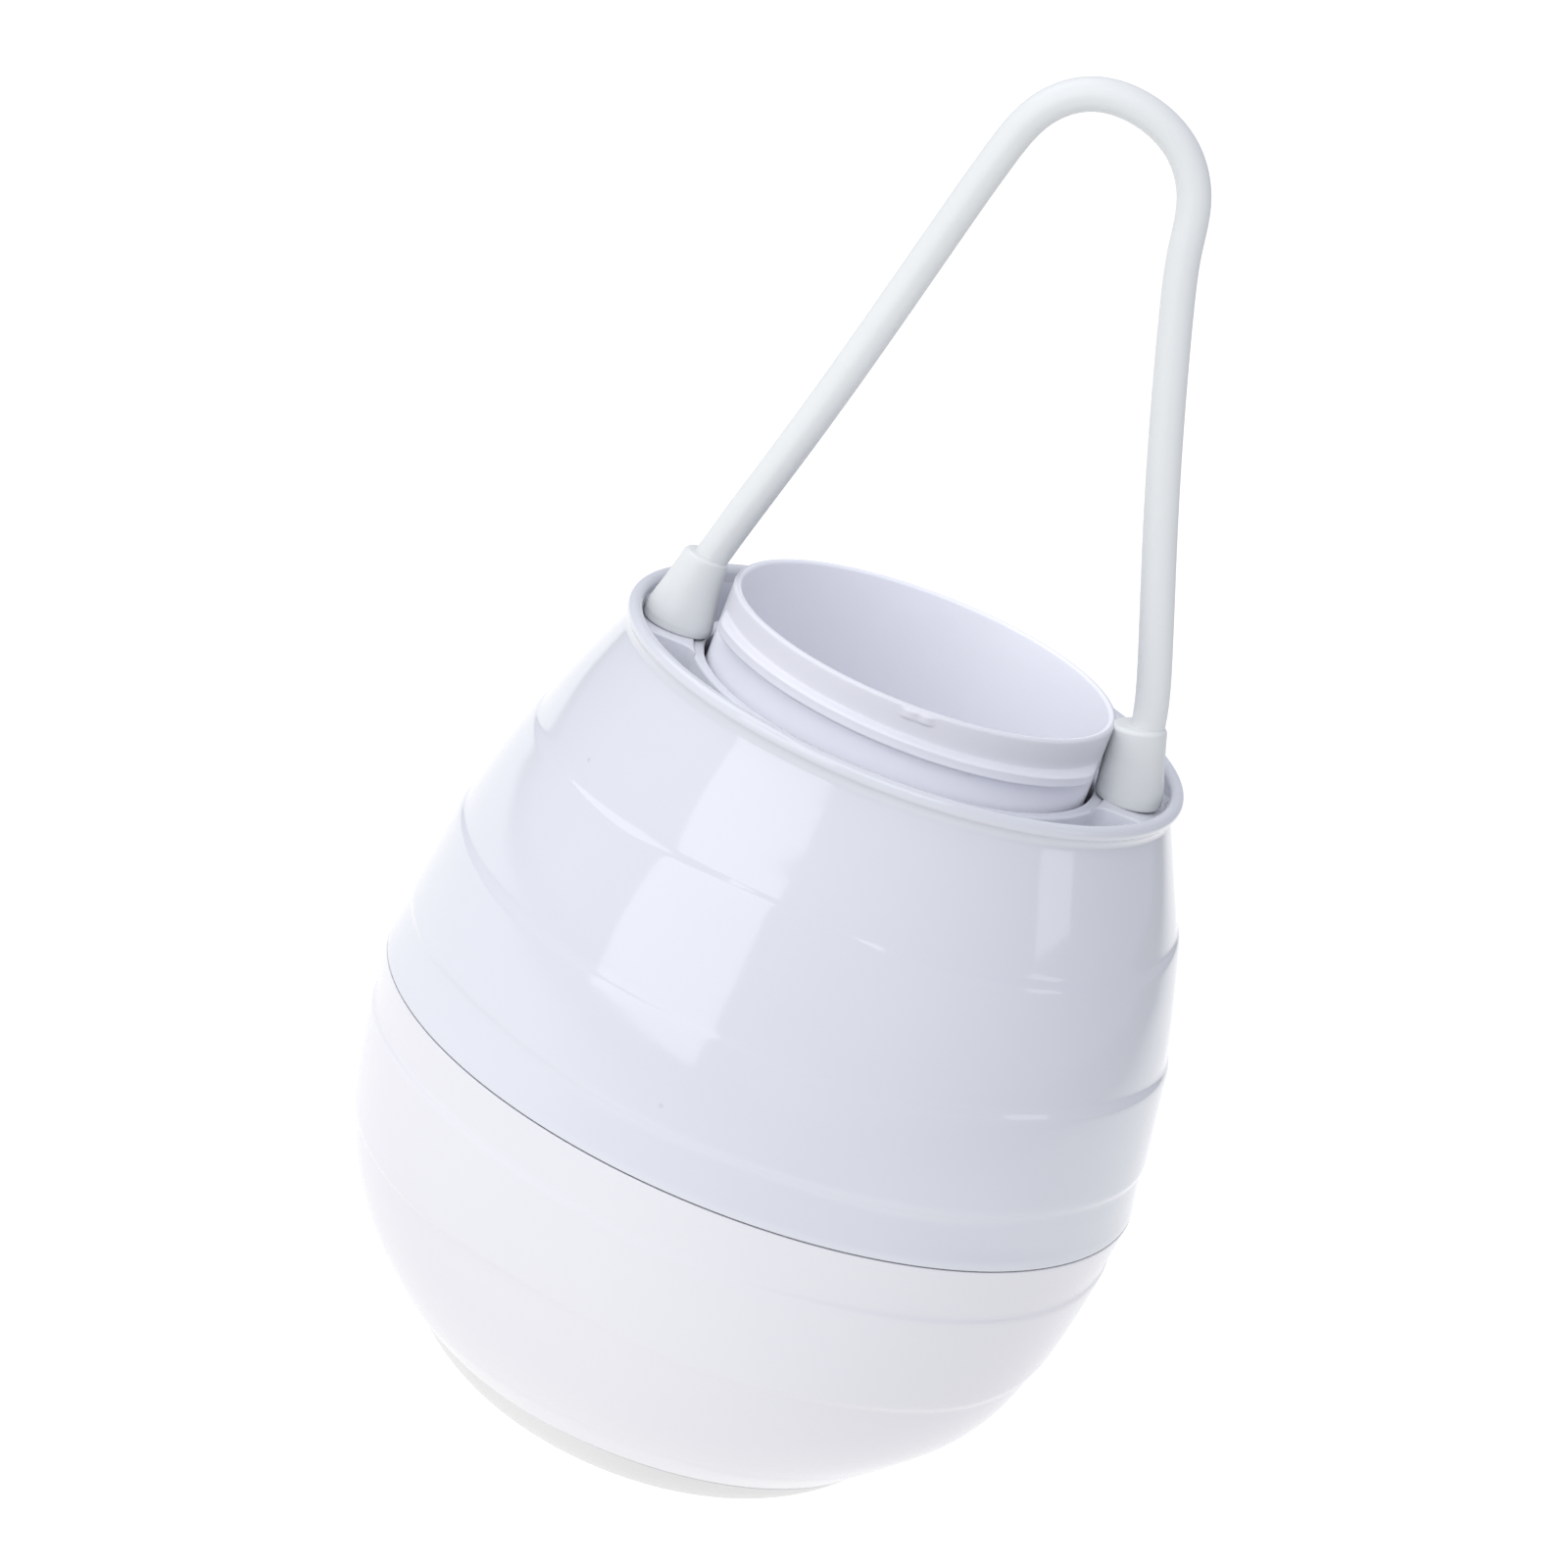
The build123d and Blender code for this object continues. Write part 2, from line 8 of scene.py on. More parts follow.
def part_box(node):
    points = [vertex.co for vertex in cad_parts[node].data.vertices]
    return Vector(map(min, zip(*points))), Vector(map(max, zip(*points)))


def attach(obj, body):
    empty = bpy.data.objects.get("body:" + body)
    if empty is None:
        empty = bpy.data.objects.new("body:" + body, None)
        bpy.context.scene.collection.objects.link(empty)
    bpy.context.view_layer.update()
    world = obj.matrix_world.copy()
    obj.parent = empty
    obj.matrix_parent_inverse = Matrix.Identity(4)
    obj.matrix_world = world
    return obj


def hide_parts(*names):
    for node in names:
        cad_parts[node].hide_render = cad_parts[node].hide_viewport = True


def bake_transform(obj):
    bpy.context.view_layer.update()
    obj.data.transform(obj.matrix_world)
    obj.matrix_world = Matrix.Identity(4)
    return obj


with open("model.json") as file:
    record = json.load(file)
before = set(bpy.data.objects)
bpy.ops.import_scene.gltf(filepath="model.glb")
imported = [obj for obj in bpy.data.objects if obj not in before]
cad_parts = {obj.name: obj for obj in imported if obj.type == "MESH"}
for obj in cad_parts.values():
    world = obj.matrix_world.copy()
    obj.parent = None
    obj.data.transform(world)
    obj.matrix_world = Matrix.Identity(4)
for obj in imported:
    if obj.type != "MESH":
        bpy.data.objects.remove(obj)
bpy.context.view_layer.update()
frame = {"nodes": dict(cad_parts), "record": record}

mm = 0.001
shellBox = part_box("upper_shell")
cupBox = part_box("chamber_cup")
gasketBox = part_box("seam_gasket")
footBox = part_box("base_foot")
girth = shellBox[1][0]                                # widest radius, at the seam
seamZ = (gasketBox[0][2] + gasketBox[1][2]) / 2
rimTop = shellBox[1][2]
lipZ = cupBox[1][2]
print("frame loaded, girth", round(girth / mm, 1), "mm, lip at", round(lipZ / mm, 1), "mm")


# Small helpers.

def smooth(x, low, high):
    # 0 below low, 1 above high, an even S between them
    t = np.clip((x - low) / (high - low), 0, 1)
    return t * t * (3 - 2 * t)


def bell(x, width):
    return np.exp(-(x / width) ** 2)


def gridPiece(name, points, material, body, closedRows=False, closedCols=True, replaced=(),
              inner=None):
    # points is a grid of places, rows by columns; quads join each place to its neighbours,
    # round the back to the first row or column where that way is closed. inner is a second
    # material and the row it starts at.
    rows, cols = points.shape[:2]
    i = np.arange(rows if closedRows else rows - 1)
    j = np.arange(cols if closedCols else cols - 1)
    a, b = np.meshgrid(i, j, indexing="ij")
    corners = [(a, b), (a, b + 1), (a + 1, b + 1), (a + 1, b)]
    quads = np.stack([(r % rows) * cols + c % cols for r, c in corners], -1).reshape(-1, 4)
    uv = np.stack([np.stack([c / cols, r / rows], -1) for r, c in corners], -2).reshape(-1, 2)
    mesh = bpy.data.meshes.new(name)
    mesh.vertices.add(rows * cols)
    mesh.vertices.foreach_set("co", points.reshape(-1))
    mesh.loops.add(quads.size)
    mesh.loops.foreach_set("vertex_index", quads.reshape(-1))
    mesh.polygons.add(len(quads))
    mesh.polygons.foreach_set("loop_start", np.arange(len(quads)) * 4)
    mesh.update(calc_edges=True)
    mesh.uv_layers.new(name="UVMap").data.foreach_set("uv", uv.reshape(-1))
    mesh.polygons.foreach_set("use_smooth", np.ones(len(quads), bool))
    if inner:
        mesh.polygons.foreach_set("material_index", (a.reshape(-1) >= inner[1]).astype(np.int32))
    work = bmesh.new()
    work.from_mesh(mesh)
    bmesh.ops.remove_doubles(work, verts=work.verts, dist=1e-6)
    bmesh.ops.recalc_face_normals(work, faces=work.faces)
    work.to_mesh(mesh)
    work.free()
    mesh.materials.append(material)
    if inner:
        mesh.materials.append(inner[0])
    piece = bpy.data.objects.new(name, mesh)
    bpy.context.scene.collection.objects.link(piece)
    if body:
        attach(piece, body)
    if replaced:
        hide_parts(*replaced)
    return piece


def turn(radius, height, angle):
    # places at a radius and a height, carried round the axis by an angle
    return np.stack([radius * np.cos(angle), radius * np.sin(angle), height + 0 * angle], -1)


def rounded(corners, step=0.35 * mm):
    # An outline of (radius, height, rounding) corners: straight runs joined by tangent arcs,
    # each arc turned about the point where the two offset runs meet.
    corners = np.array(corners, float)
    out = []
    for k, (x, z, r) in enumerate(corners):
        here = np.array([x, z])
        before = corners[k - 1, :2] - here if k else None
        after = corners[k + 1, :2] - here if k + 1 < len(corners) else None
        if before is None or after is None or r == 0:
            out.append(here[None])
            continue
        p, q = before / np.linalg.norm(before), after / np.linalg.norm(after)
        half = np.arccos(np.clip(p @ q, -1, 1)) / 2
        reach = r / np.tan(half)
        middle = here + (p + q) / np.linalg.norm(p + q) * r / np.sin(half)
        start, end = here + p * reach - middle, here + q * reach - middle
        a0, a1 = np.arctan2(start[1], start[0]), np.arctan2(end[1], end[0])
        sweep = (a1 - a0 + np.pi) % (2 * np.pi) - np.pi
        a = a0 + sweep * np.linspace(0, 1, max(4, int(abs(sweep) * r / step) + 2))
        out.append(middle + r * np.stack([np.cos(a), np.sin(a)], -1))
    return np.concatenate(out)


def spread(path, step):
    # the same outline with no gap between points longer than step
    parts = [np.linspace(p, q, max(2, int(np.linalg.norm(q - p) / step) + 2))[:-1]
             for p, q in zip(path[:-1], path[1:])]
    return np.concatenate(parts + [path[-1:]])


# Materials.

def groupOf(name, inputs, outputs):
    tree = bpy.data.node_groups.new(name, "ShaderNodeTree")
    for label, kind, value in inputs:
        socket = tree.interface.new_socket(label, in_out="INPUT", socket_type=kind)
        if value is not None:
            socket.default_value = value
    for label, kind in outputs:
        tree.interface.new_socket(label, in_out="OUTPUT", socket_type=kind)
    return tree, tree.nodes.new("NodeGroupInput"), tree.nodes.new("NodeGroupOutput")


def node(tree, kind, **values):
    made = tree.nodes.new(kind)
    for key, value in values.items():
        if key in made.inputs:
            made.inputs[key].default_value = value
        else:
            setattr(made, key, value)
    return made


def ramp(tree, source, low, high, colorLow=(0, 0, 0, 1), colorHigh=(1, 1, 1, 1)):
    made = tree.nodes.new("ShaderNodeValToRGB")
    made.color_ramp.elements[0].position, made.color_ramp.elements[1].position = low, high
    made.color_ramp.elements[0].color, made.color_ramp.elements[1].color = colorLow, colorHigh
    tree.links.new(source, made.inputs[0])
    return made.outputs[0]


def mixed(tree, factor, a, b, blendType="MIX"):
    made = tree.nodes.new("ShaderNodeMix")
    made.data_type, made.blend_type = "RGBA", blendType
    for socket, value in ((made.inputs[0], factor), (made.inputs[6], a), (made.inputs[7], b)):
        if isinstance(value, bpy.types.NodeSocket):
            tree.links.new(value, socket)
        else:
            socket.default_value = value
    return made.outputs[2]


def math(tree, operation, a, b=0.0, c=None):
    made = tree.nodes.new("ShaderNodeMath")
    made.operation = operation
    for socket, value in zip(made.inputs, (a, b, c)):
        if isinstance(value, bpy.types.NodeSocket):
            tree.links.new(value, socket)
        elif value is not None:
            socket.default_value = value
    return made.outputs[0]


moulding = {
    "cloudScale": 22.0,
    "smearScale": 70.0,
    "moteScale": 150.0,
    "moteSize": 0.06,
    "moteRare": 0.985,      # share of the places that stay clean
    "moteColor": (0.42, 0.43, 0.5, 1),
}


def mouldedSkin():
    # Moulded plastic: slow cloudiness in colour and gloss, a faint orange peel, and dust motes.
    tree, entry, out = groupOf("mouldedSkin", [
        ("Color", "NodeSocketColor", None), ("Shade", "NodeSocketColor", None),
        ("Roughness", "NodeSocketFloat", 0.2), ("Peel", "NodeSocketFloat", 0.1),
        ("Grain", "NodeSocketFloat", 900.0), ("Dust", "NodeSocketFloat", 0.3),
    ], [("Color", "NodeSocketColor"), ("Roughness", "NodeSocketFloat"), ("Normal", "NodeSocketVector")])
    place = tree.nodes.new("ShaderNodeTexCoord").outputs["Object"]
    cloud = node(tree, "ShaderNodeTexNoise", Scale=moulding["cloudScale"], Detail=3.0)
    tree.links.new(place, cloud.inputs["Vector"])
    cloudy = ramp(tree, cloud.outputs["Fac"], 0.35, 0.65)
    color = mixed(tree, cloudy, entry.outputs["Color"], entry.outputs["Shade"])
    motes = node(tree, "ShaderNodeTexVoronoi", Scale=moulding["moteScale"])
    motes.feature = "F1"
    tree.links.new(place, motes.inputs["Vector"])
    pick = node(tree, "ShaderNodeTexWhiteNoise")
    tree.links.new(motes.outputs["Position"], pick.inputs["Vector"])
    near = math(tree, "LESS_THAN", motes.outputs["Distance"], moulding["moteSize"])
    rare = math(tree, "GREATER_THAN", pick.outputs["Value"], moulding["moteRare"])
    mote = math(tree, "MULTIPLY", math(tree, "MULTIPLY", near, rare), entry.outputs["Dust"])
    tree.links.new(mixed(tree, mote, color, moulding["moteColor"]), out.inputs["Color"])
    smear = node(tree, "ShaderNodeTexNoise", Scale=moulding["smearScale"], Detail=4.0)
    tree.links.new(place, smear.inputs["Vector"])
    swing = math(tree, "MULTIPLY_ADD", smear.outputs["Fac"], 0.4, 0.8)
    rough = math(tree, "MULTIPLY", entry.outputs["Roughness"], swing)
    tree.links.new(math(tree, "MULTIPLY_ADD", mote, 0.5, rough), out.inputs["Roughness"])
    peel = node(tree, "ShaderNodeTexNoise", Detail=2.0)
    tree.links.new(entry.outputs["Grain"], peel.inputs["Scale"])
    tree.links.new(place, peel.inputs["Vector"])
    bump = node(tree, "ShaderNodeBump", Distance=0.0002)
    tree.links.new(entry.outputs["Peel"], bump.inputs["Strength"])
    tree.links.new(math(tree, "MULTIPLY_ADD", mote, 0.6, peel.outputs["Fac"]), bump.inputs["Height"])
    tree.links.new(bump.outputs["Normal"], out.inputs["Normal"])
    return tree


def brushedSkin():
    # Drawn or brushed metal: fine lines round the vertical axis that stretch the gloss.
    tree, entry, out = groupOf("brushedSkin", [
        ("Color", "NodeSocketColor", None), ("Roughness", "NodeSocketFloat", 0.3),
        ("Lines", "NodeSocketFloat", 600.0),
    ], [("Color", "NodeSocketColor"), ("Roughness", "NodeSocketFloat"), ("Normal", "NodeSocketVector")])
    place = tree.nodes.new("ShaderNodeTexCoord").outputs["Object"]
    stretch = node(tree, "ShaderNodeMapping")
    stretch.inputs["Scale"].default_value = (0.15, 0.15, 3.0)
    tree.links.new(place, stretch.inputs["Vector"])
    lines = node(tree, "ShaderNodeTexNoise", Detail=3.0)
    tree.links.new(entry.outputs["Lines"], lines.inputs["Scale"])
    tree.links.new(stretch.outputs["Vector"], lines.inputs["Vector"])
    tree.links.new(mixed(tree, math(tree, "MULTIPLY", lines.outputs["Fac"], 0.35), entry.outputs["Color"],
                         (0.25, 0.25, 0.27, 1)), out.inputs["Color"])
    tree.links.new(math(tree, "MULTIPLY_ADD", lines.outputs["Fac"], 0.25, entry.outputs["Roughness"]),
                   out.inputs["Roughness"])
    bump = node(tree, "ShaderNodeBump", Strength=0.15, Distance=0.0001)
    tree.links.new(lines.outputs["Fac"], bump.inputs["Height"])
    tree.links.new(bump.outputs["Normal"], out.inputs["Normal"])
    return tree


skins = {"moulded": mouldedSkin(), "brushed": brushedSkin()}


def finish(name, skin, color, shade=None, shader=None, **skinValues):
    # one Principled shader fed by a shared skin group
    made = bpy.data.materials.new(name)
    made.use_nodes = True
    tree = made.node_tree
    principled = tree.nodes["Principled BSDF"]
    group = tree.nodes.new("ShaderNodeGroup")
    group.node_tree = skins[skin]
    group.inputs["Color"].default_value = (*color, 1)
    if "Shade" in group.inputs:
        group.inputs["Shade"].default_value = (*(shade or [0.97 * c for c in color]), 1)
    for key, value in skinValues.items():
        group.inputs[key].default_value = value
    tree.links.new(group.outputs["Color"], principled.inputs["Base Color"])
    tree.links.new(group.outputs["Roughness"], principled.inputs["Roughness"])
    tree.links.new(group.outputs["Normal"], principled.inputs["Normal"])
    for key, value in (shader or {}).items():
        principled.inputs[key].default_value = value
    return made


finishes = {
    "glossWhite": finish("glossWhite", "moulded", (0.622, 0.634, 0.674), (0.61, 0.622, 0.664),
                         Roughness=0.09, Peel=0.05,
                         Grain=500.0, Dust=0.35,
                         shader={"IOR": 1.5, "Coat Weight": 0.25, "Coat Roughness": 0.05}),
    "lowerWhite": finish("lowerWhite", "moulded", (0.685, 0.68, 0.705), (0.675, 0.67, 0.697),
                         Roughness=0.2, Peel=0.06,
                         Grain=500.0, Dust=0.15,
                         shader={"IOR": 1.48, "Coat Weight": 0.15, "Coat Roughness": 0.1}),
    # painted light: a lighter copy of the gloss white for the deck and the shell's inner faces, so the shaded
    # moat shows as bright as the outside
    "deckWhite": finish("deckWhite", "moulded", (0.75, 0.76, 0.81),
                        Roughness=0.16, Peel=0.05, Grain=500.0, Dust=0.35),
    # painted shade: the foot band is coloured darker and warmer than the satin white, standing in for the
    # shade on the downward-facing band
    "footWhite": finish("footWhite", "moulded", (0.66, 0.65, 0.645),
                        Roughness=0.3, Peel=0.1, Grain=1200.0, Dust=0.2),
    "satinWhite": finish("satinWhite", "moulded", (0.80, 0.79, 0.80),
                         Roughness=0.38, Peel=0.15, Grain=1500.0, Dust=0.2),
    # painted light: the neck plastic is coloured lighter than the gloss shell, so the neck, shaded by the rim
    # and the moat, shows as bright as the shell
    "neckPlastic": finish("neckPlastic", "moulded", (0.87, 0.87, 0.92), (0.86, 0.86, 0.915),
                          Roughness=0.45, Peel=0.1,
                          Grain=1200.0, Dust=0.2, shader={"IOR": 1.48}),
    "whiteSilicone": finish("whiteSilicone", "moulded", (0.695, 0.71, 0.702), (0.682, 0.697, 0.69),
                            Roughness=0.42,
                            Peel=0.12, Grain=2200.0, Dust=0.5, shader={"IOR": 1.41}),
    "greySilicone": finish("greySilicone", "moulded", (0.33, 0.30, 0.29),
                           Roughness=0.55, Peel=0.2, Grain=2500.0),
    "padRubber": finish("padRubber", "moulded", (0.70, 0.70, 0.72),
                        Roughness=0.6, Peel=0.4, Grain=3000.0),
    "buttonGrey": finish("buttonGrey", "moulded", (0.56, 0.56, 0.6),
                         Roughness=0.4, Peel=0.2, Grain=2500.0),
    "blackPlastic": finish("blackPlastic", "moulded", (0.03, 0.03, 0.035),
                           Roughness=0.45, Peel=0.3, Grain=2500.0),
    "boardGreen": finish("boardGreen", "moulded", (0.03, 0.18, 0.08), (0.02, 0.13, 0.06),
                         Roughness=0.25, Peel=0.3),
    "boardWhite": finish("boardWhite", "moulded", (0.82, 0.82, 0.80), Roughness=0.3, Peel=0.2),
    "cellWrap": finish("cellWrap", "moulded", (0.05, 0.22, 0.45), (0.04, 0.18, 0.4),
                       Roughness=0.2, Peel=0.3),
    "ferrite": finish("ferrite", "moulded", (0.06, 0.06, 0.06), (0.2, 0.12, 0.03),
                      Roughness=0.6, Peel=0.6),
    "filmRed": finish("filmRed", "moulded", (0.45, 0.06, 0.04), Roughness=0.2, Peel=0.2),
    "insulator": finish("insulator", "moulded", (0.70, 0.70, 0.75),
                        Roughness=0.36, Peel=0.15, Grain=1500.0),
    "ledViolet": finish("ledViolet", "moulded", (0.5, 0.4, 0.8), Roughness=0.1, Peel=0.05),
    "zincSteel": finish("zincSteel", "brushed", (0.62, 0.62, 0.62),
                        Roughness=0.25, shader={"Metallic": 1.0}),
    "platedSteel": finish("platedSteel", "brushed", (0.68, 0.67, 0.64),
                          Roughness=0.2, shader={"Metallic": 1.0}),
    "gridSteel": finish("gridSteel", "brushed", (0.7, 0.7, 0.71),
                        Roughness=0.12, Lines=900.0, shader={"Metallic": 1.0}),
    "pinBrass": finish("pinBrass", "brushed", (0.72, 0.52, 0.24),
                       Roughness=0.2, shader={"Metallic": 1.0}),
    "lampGlass": finish("lampGlass", "moulded", (0.95, 0.95, 0.99),
                        Roughness=0.04, Peel=0.02, Dust=0.0,
                        shader={"Transmission Weight": 1.0, "IOR": 1.45}),
}

# painted light and shade on the neck's outer face: lifted where the rim shades it, darkened at the brightly
# lit lip
neckPaintedLight = {
    "outside": 32.25 * mm,          # beyond this radius the wall is its outer face
    "fade": (134.5 * mm, 139.5 * mm),
    "low": 0.07,                    # painted light: how much brighter the outer face is painted below the thread, where the rim shades it
    "drop": -0.27,                  # painted shade: and how much darker it is painted, from there, at the lip, where the top lights fall strongest
}


def paintNeckLightAndShade(material):
    # Painted light and shade: the outer face's colour is painted brighter below the thread, where the rim
    # shades it, and falls off evenly from there to a darker lip, where the top lights fall strongest.
    tree = material.node_tree
    principled = tree.nodes["Principled BSDF"]
    plain = principled.inputs["Base Color"].links[0].from_socket
    place = tree.nodes.new("ShaderNodeSeparateXYZ")
    tree.links.new(tree.nodes.new("ShaderNodeTexCoord").outputs["Object"], place.inputs[0])
    x, y, z = place.outputs
    squared = math(tree, "MULTIPLY_ADD", x, x, math(tree, "MULTIPLY", y, y))
    outside = math(tree, "GREATER_THAN", squared, neckPaintedLight["outside"] ** 2)
    bottom, lip = neckPaintedLight["fade"]
    rise = node(tree, "ShaderNodeMapRange", **{"From Min": bottom, "From Max": lip})
    rise.interpolation_type = "SMOOTHSTEP"
    tree.links.new(z, rise.inputs["Value"])
    change = math(tree, "MULTIPLY_ADD", rise.outputs["Result"], neckPaintedLight["drop"], neckPaintedLight["low"])
    factor = math(tree, "MULTIPLY_ADD", outside, change, 1.0)
    scaled = node(tree, "ShaderNodeVectorMath", operation="SCALE")
    tree.links.new(plain, scaled.inputs[0])
    tree.links.new(factor, scaled.inputs["Scale"])
    tree.links.new(scaled.outputs[0], principled.inputs["Base Color"])


# paint the light-and-shade fade onto the neck's outer face
paintNeckLightAndShade(finishes["neckPlastic"])

# Every node's finish is the one named like its record slot.
for sub in frame["record"]["subparts"]:
    words = sub["material_slot"].split("_")
    material = finishes[words[0] + "".join(w.title() for w in words[1:])]
    for slotOnMesh in frame["nodes"][sub["node"]].material_slots:
        slotOnMesh.material = material
# the foot takes the darker white that paints shade onto its band
for slotOnMesh in frame["nodes"]["base_foot"].material_slots:
    slotOnMesh.material = finishes["footWhite"]
print("materials ready")


# The two shells.

shells = {
    "columns": 384,
    "upperFall": ((1, 0.18), (2, -0.24), (3, 0.64), (4, -0.29)),
    "lowerFall": ((1, 0.076), (2, 0.122), (4, 0.059), (6, 0.768), (10, -0.591)),
    # height, depth (above zero the band below stands proud), slow wave, its turns and start
    "upperLedges": ((0.700, 0.0075, 0.010, 3, 0.6), (0.390, 0.0080, 0.009, 2, 1.9),
                    (0.135, -0.0065, 0.007, 3, 2.7)),
    "lowerLedges": ((-0.140, 0.0085, 0.006, 2, 0.4), (-0.420, -0.0080, 0.009, 3, 1.2),
                    (-0.750, 0.0035, 0.008, 2, 2.0)),
    "rowGap": 0.0007,      # least height between two rows
    "edge": 0.0095,        # half width of a ledge's rounded edge
    "fade": 0.13,          # how far a ledge's swelling reaches
    "wall": 2.2 * mm,
    "seamHalf": 0.11 * mm,
    "footLap": 0.5 * mm,     # how far the lower shell's edge covers the foot joint
    "wallTop": 131.2 * mm,      # where the upper wall meets the rim's bead
    "bead": (1.25 * mm, 46.75 * mm),      # its own radius and that of its centre circle
    "seamRound": 0.15 * mm,
    "seamLead": 0.006,     # height over the girth taken by the turned-in edge
    "floorThick": 2 * mm,
    "serviceHole": 17 * mm,
    "moatFloor": 119.0 * mm,
    "collar": (33.7 * mm, 35.8 * mm, 130.8 * mm),
}


def bandedWall(heights, angle, fall, ledges):
    # The radius falls from the girth by powers of the height over the girth. Round each ledge the
    # wall steps by the ledge's depth, along tanh, and the step dies away exponentially on both sides.
    # Ledges run deeper on the two strap sides than in front and behind. Rows of the grid follow each
    # ledge's slow wave, so the edge stays crisp.
    s = heights[:, None] + 0 * angle[None]
    z = s.copy()
    drop = sum(c * np.abs(s) ** p for p, c in fall)
    offset = 0 * s
    for height, depth, wave, turns, start in ledges:
        lift = wave * (np.sin(turns * angle + start) + 0.5 * np.sin((2 * turns + 1) * angle + 2 * start))
        z += lift[None] * bell(s - height, 0.09)
        sides = 0.4 + 0.6 * smooth(np.abs(np.cos(angle)), 0.05, 0.6)
        vary = sides * (1 + 0.25 * np.sin((turns + 2) * angle + start))
        away = s - height
        fading = np.exp(-np.abs(away) / shells["fade"])
        offset -= 0.5 * depth * vary[None] * np.tanh(away / shells["edge"]) * fading
    slow = 0.0012 * np.sin(2 * angle + 0.7)[None] * np.sin(3.1 * s) + 0.0010 * np.sin(3 * angle + 5.2 * s)
    ends = smooth(np.abs(s), 0, 0.05)
    return girth * (1 - drop + (offset + slow) * ends), z


def ledgeHeights(low, high, ledges, step=0.02):
    # heights from low to high, crowded together round each ledge
    even = np.arange(low, high, step)
    near = np.concatenate([ledge[0] + np.sinh(np.linspace(-3, 3, 25)) / 10.02 * 0.035 for ledge in ledges])
    inside = near[(near > low) & (near < high - shells["rowGap"])]
    steps = np.unique(np.round(np.concatenate([even - low, inside - low]) / shells["rowGap"]))
    return np.concatenate([low + steps * shells["rowGap"], [high]])


def shellAngles():
    return np.linspace(0, 2 * np.pi, shells["columns"], endpoint=False)


def upperShell():
    angle = shellAngles()
    seamGap = shells["seamHalf"] / girth
    leadTop = seamGap + shells["seamLead"]
    wallTop = (shells["wallTop"] - seamZ) / girth
    heights = ledgeHeights(leadTop, wallTop, shells["upperLedges"])
    radius, z = bandedWall(heights, angle, shells["upperFall"], shells["upperLedges"])
    height = seamZ + girth * z
    # the wall ends a little short of the seam, where a small round turns it in
    edgeZ = seamZ + girth * seamGap
    lead = rounded([(-shells["wall"], edgeZ, 0), (0, edgeZ, shells["seamRound"]),
                    (0, seamZ + girth * leadTop, 0)], 0.04 * mm)[:-1]
    # rolled rim, moat wall, moat floor, and back down inside the shell
    beadR, beadCircle = shells["bead"]
    a = np.radians(np.linspace(-62, 195, 22))
    bead = np.stack([beadCircle + beadR * np.cos(a), rimTop - beadR + beadR * np.sin(a)], -1)
    floor = shells["moatFloor"]
    under = floor - shells["floorThick"]
    inner = rounded([(45.35 * mm, 132.4 * mm, 0), (50.0 * mm, floor, 1.2 * mm), (36.4 * mm, floor, 0.0),
                     (36.4 * mm, under, 0), (50.4 * mm, under, 0), (59.0 * mm, 90 * mm, 0),
                     (63.2 * mm, seamZ + 0.4 * mm, 0)])
    inner = spread(inner, 6 * mm)
    tail = np.concatenate([bead, inner])
    rows = [turn(radius[0] + p[0], np.repeat(p[1], len(angle)), angle) for p in lead]
    rows += [turn(radius[k], height[k], angle) for k in range(len(heights))]
    rows += [turn(np.repeat(p[0], len(angle)), np.repeat(p[1], len(angle)), angle) for p in tail]
    # from this row on, the inner faces take the lighter white that paints light into the shaded moat
    innerFrom = len(lead) + len(heights) + len(bead)
    return gridPiece("upperShellSkin", np.stack(rows), finishes["glossWhite"], "housing",
                     closedRows=True, replaced=["upper_shell"], inner=(finishes["deckWhite"], innerFrom))


def lowerShell():
    angle = shellAngles()
    seamGap = shells["seamHalf"] / girth
    floor = footBox[1][2]
    low = (floor - seamZ) / girth
    leadLow = seamGap + shells["seamLead"]
    heights = ledgeHeights(low, -seamGap - shells["seamLead"], shells["lowerLedges"])
    radius, z = bandedWall(heights, angle, shells["lowerFall"], shells["lowerLedges"])
    height = seamZ + girth * z
    height[0] = floor
    edgeZ = seamZ - girth * seamGap
    lead = rounded([(0, seamZ - girth * leadLow, 0), (0, edgeZ, shells["seamRound"]),
                    (-shells["wall"], edgeZ, 0)], 0.04 * mm)[1:]
    plateTop, hole = floor + shells["floorThick"], shells["serviceHole"]
    inner = spread(rounded([(63.6 * mm, 63.0 * mm, 0), (60.0 * mm, 37.8 * mm, 0), (47.4 * mm, 17 * mm, 0),
                            (41.0 * mm, plateTop, 0), (hole, plateTop, 0), (hole, floor, 0),
                            (40.5 * mm, floor, 0)]), 6 * mm)
    # the lowest edge laps over the foot, so no gap shows between the two
    lap = shells["footLap"]
    rows = [turn(radius[0] - lap - 0.6 * mm, np.repeat(floor - 0.5 * lap, len(angle)), angle),
            turn(radius[0] - lap, np.repeat(floor - lap, len(angle)), angle)]
    rows += [turn(radius[k], height[k], angle) for k in range(len(heights))]
    rows += [turn(radius[-1] + p[0], np.repeat(p[1], len(angle)), angle) for p in lead]
    rows += [turn(np.repeat(p[0], len(angle)), np.repeat(p[1], len(angle)), angle) for p in inner]
    return gridPiece("lowerShellSkin", np.stack(rows), finishes["lowerWhite"], "housing",
                     closedRows=True, replaced=["lower_shell"])


# Deck: collar round the neck and the two strap shelves.

deck = {
    "shelfTop": 131.3 * mm,
    "shelfHalf": 8.5 * mm,
    "flare": 2.2 * mm,      # fillet where a shelf's edge meets the collar and the wall
    "underside": 117.2 * mm,
    "wallAtTop": 46.2 * mm,
    "wallAtFloor": 50.4 * mm,
    "middleCircle": 41 * mm,   # radius on which the columns are laid out
    "collarFillet": 1.3 * mm,
}


